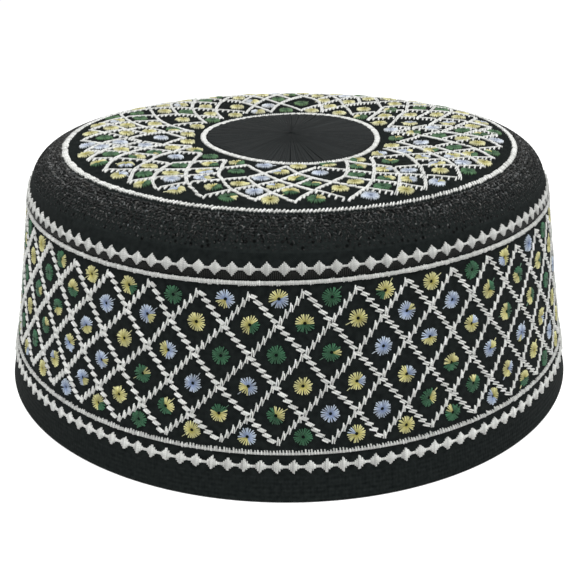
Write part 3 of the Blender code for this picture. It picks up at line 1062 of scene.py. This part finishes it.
def flowers(rows, chart, petals, eye, far, broad, tip, height, sheen_share):
    """Petals are threads at even angles from eye to far, in mm from the middle, with ragged ends. They are
    broad wide at the eye, where they lie one over the other, and tip wide at the end. A petal that points up
    has its far end nearer the crown, so its s is smaller. Every flower is a little darker on one side, and
    some have a loose tail towards the lattice."""
    parts = []
    for places, line in zip(rows, chart):
        count = len(places)
        radius = radius_at(places[:, :1])
        true_size = np.hstack([np.ones((count, 1)), radius])
        places = places + 0.18 * rng.standard_normal(places.shape) / true_size
        even = (np.arange(petals) / petals * 2 * np.pi)[None]
        point = even + 0.04 * rng.standard_normal((count, petals))
        reach = far * (1 + 0.06 * rng.standard_normal((count, petals)))
        away = np.stack([-np.sin(point), np.cos(point) / radius], axis=-1)
        start = (places[:, None] + eye * away).reshape(-1, 2)
        end = (places[:, None] + reach[..., None] * away).reshape(-1, 2)
        dyes = sheened(chart_dyes(line.split(), count, petals), places[:, 1], sheen_share)
        loose = rng.random(count) < TAILED
        tails = (dyes[:, 3, 1] * 0.85 + WHITE * 0.1)[loose]
        dark_side = rng.uniform(0, 2 * np.pi, (count, 1))
        dyes *= 1 + 0.14 * np.cos(point - dark_side)[..., None, None]
        dyes = dyes.reshape(-1, 2, 3) * (1 + 0.13 * rng.standard_normal((count * petals, 1, 1)))
        rise = height * (1 + 0.08 * rng.standard_normal(count * petals))
        parts.append(threads(start, end, broad, rise, dyes[:, 0], dive=0.1, end_width=tip, end_dye=dyes[:, 1]))
        hour = np.where(rng.random(count) < 0.6, *TAIL_HOURS) + 0.2 * rng.standard_normal(count)
        way = np.stack([-np.sin(hour), np.cos(hour) / radius[:, 0]], axis=-1)[loose]
        parts.append(threads(places[loose] + 2.3 * way, places[loose] + 3.7 * way, 0.17, 0.2, tails))
    return joined(*parts)


flower = dict(petals=22, eye=0.4, far=2.48, broad=0.37, tip=0.33, height=0.34, sheen_share=0.0)
side_flowers = flowers(side_beds, SIDE_DYES, **flower)
new_piece("side_flowers", side_flowers, flower_thread)
flower = dict(petals=20, eye=0.36, far=2.5, broad=0.44, tip=0.3, height=0.5, sheen_share=CROWN_SHEEN)
crown_flowers = flowers(crown_beds, CROWN_DYES, **flower)
new_piece("crown_flowers", crown_flowers, flower_thread)

# %% [markdown]
# ## The quilted shoulder
#
# The shoulder is stiffened with row upon row of black machine stitching. The rows start just under the ring. There
# they stand up as loops, and lower down they lie flat. The cloth itself is puckered by them, which a bump and
# painted shade in its pits show, and a painted shadow darkens it just under the ring.

# %% The shoulder's cloth
PIT_SHADE_BLACK = (0.0008, 0.0008, 0.0008)
quilted = Finish("quilted_cotton", **COTTON)
_, v, _ = quilted.where("UV")
grain = quilted.noise(0.9, 3.0, "UV")
place = quilted.node("ShaderNodeTexCoord", {}, {}, "UV")
cells = {"Vector": place, "Scale": 0.62, "Randomness": 0.6}
hole = quilted.node("ShaderNodeTexVoronoi", {}, cells, "Distance")
# painted shade: the pits, and a strip of cloth just under the ring, are darkened towards near-black
pit = quilted.ramp(hole, start=0.12, end=0.42, first=1.0, last=0.0)
ring_shadow = quilted.ramp(v, start=0.3, end=1.1, first=0.6, last=0.0)
deep = pit * 0.9
painted_shade = deep.math("MAXIMUM", deep, ring_shadow)
colour = quilted.blend(grain * 1.7 - 0.1, BLACK, WORN_BLACK)
colour = quilted.blend(painted_shade, colour, PIT_SHADE_BLACK)
quilted_cotton = quilted.finished(colour, grain * 0.6 - pit, depth=0.3)
shoulder_wall = wall(CROWN_END, SHOULDER_END, 24)
new_piece("shoulder_cloth", shoulder_wall, quilted_cotton, "shoulder", slot="black_cloth")

# %% Quilting
def quilting(rows, pitch, half, width, askew, dye, far=1.0):
    """Rows of stitches round the shoulder, most of them upright and some askew, as far down as a share of its
    width. A few have a painted glint, a much lighter dye, and more of them in some places than in others and at
    the cap's sides. The rows get flatter, shorter and darker down the shoulder."""
    parts = []
    last = CROWN_END + far * (SHOULDER_END - 1.0 - CROWN_END)
    for k, s in enumerate(np.linspace(CROWN_END - 0.2, last, rows)):
        down = k / (rows - 1) * far
        radius = radius_at(s)
        count = int(2 * np.pi * radius / pitch)
        even = (np.arange(count) + rng.random()) * 2 * np.pi / count
        angle = even + 0.25 / radius * rng.standard_normal(count)
        turn = np.pi / 2 + np.where(rng.random(count) < 0.25, 1.6, askew) * rng.standard_normal(count)
        reach = half * (1 - 0.4 * down) * (1 + 0.25 * rng.standard_normal(count))
        line = s + 0.15 * rng.standard_normal(count)
        away = np.stack([reach * np.sin(turn), reach * np.cos(turn) / radius], axis=-1)
        place = np.stack([line, angle], axis=-1)
        # painted highlight: shine lightens a few stitches' dye for glints, more in patches and at the cap's sides
        shine = np.exp(0.7 * rng.standard_normal(count) + 1.2 * wander(angle, 0.5, 24))[:, None]
        shine = shine * (1 + 0.35 * np.sin(angle) ** 2)[:, None]
        warm = np.array([0.025, 0.0, -0.025]) * rng.standard_normal((count, 1))
        shades = np.clip(shine * (1 - 0.6 * smooth_step(down * 1.2)) * (1 + warm) * dye, 0.003, 0.17)
        tall = 0.56 - 0.38 * down
        parts.append(threads(place - away, place + away, width, tall, shades, dive=0.5, sections=3))
    return joined(*parts)


BEAD_BLACK, LOOP_BLACK = np.array([0.0185, 0.0195, 0.0192]), np.array([0.0440, 0.0450, 0.0440])
beads = quilting(12, pitch=1.3, half=0.5, width=0.6, askew=0.5, dye=BEAD_BLACK)
loops = quilting(10, pitch=1.3, half=0.9, width=0.36, askew=0.6, dye=LOOP_BLACK, far=0.8)
new_piece("shoulder_quilting", joined(beads, loops), black_thread, slot="black_satin")

# %% [markdown]
# ## Floor, light and camera
#
# The cap stands on a plain white floor in soft light: a bright surround, and one broad lamp above and a little in
# front, which lights the crown more than the wall. The camera looks down at 24.5 degrees from 33 cm away.

# %% The floor
mesh = bpy.data.meshes.new("floor")
mesh.from_pydata([(-6, -6, 0), (6, -6, 0), (6, 6, 0), (-6, 6, 0)], [], [(0, 1, 2, 3)])
floor = bpy.data.objects.new("floor", mesh)
bpy.context.scene.collection.objects.link(floor)
paper = Finish("white_paper", roughness=0.9, specular=0.0)
mesh.materials.append(paper.finished((0.9, 0.9, 0.9)))
paper.shader.inputs["Emission Color"].default_value = (1, 1, 1, 1)
paper.shader.inputs["Emission Strength"].default_value = 0.3

# %% Light
world = bpy.data.worlds.new("surround")
world.use_nodes = True
world.node_tree.nodes["Background"].inputs["Color"].default_value = (1, 1, 1, 1)
world.node_tree.nodes["Background"].inputs["Strength"].default_value = 0.45
bpy.context.scene.world = world


def lamp(name, place, size, power):
    """A square area lamp that faces the cap."""
    light = bpy.data.lights.new(name, "AREA")
    light.size, light.energy = size, power
    obj = bpy.data.objects.new(name, light)
    obj.location = place
    obj.rotation_mode = "QUATERNION"
    obj.rotation_quaternion = (Vector((0, 0, 0.05)) - Vector(place)).to_track_quat("-Z", "Y")
    bpy.context.scene.collection.objects.link(obj)
    print("lamp:", name, power, "W")


lamp("soft_box", (0.05, -0.3, 1.15), size=0.8, power=17.0)

# %% The camera
PITCH, DISTANCE, ROLL = np.radians(24.54), 0.329, np.radians(-0.36)  # DISTANCE in metres
FOCAL, FRAME = 953, 576  # the focal length and the picture's width, both in pixels
target = Vector((-0.0002, 0.0, 0.0197))
camera_data = bpy.data.cameras.new("camera")
camera_data.sensor_width = 36.0
camera_data.lens = FOCAL / FRAME * camera_data.sensor_width
camera_data.clip_start = 0.01
camera = bpy.data.objects.new("camera", camera_data)
back = Vector((0.0, -np.cos(PITCH), np.sin(PITCH)))
camera.location = target + back * DISTANCE
camera.rotation_mode = "QUATERNION"
camera.rotation_quaternion = (-back).to_track_quat("-Z", "Y") @ Quaternion((0, 0, 1), ROLL)
bpy.context.scene.collection.objects.link(camera)
bpy.context.scene.camera = camera
bpy.context.scene.view_settings.view_transform = "Standard"
print("camera: a", round(camera_data.lens, 2), "mm lens")
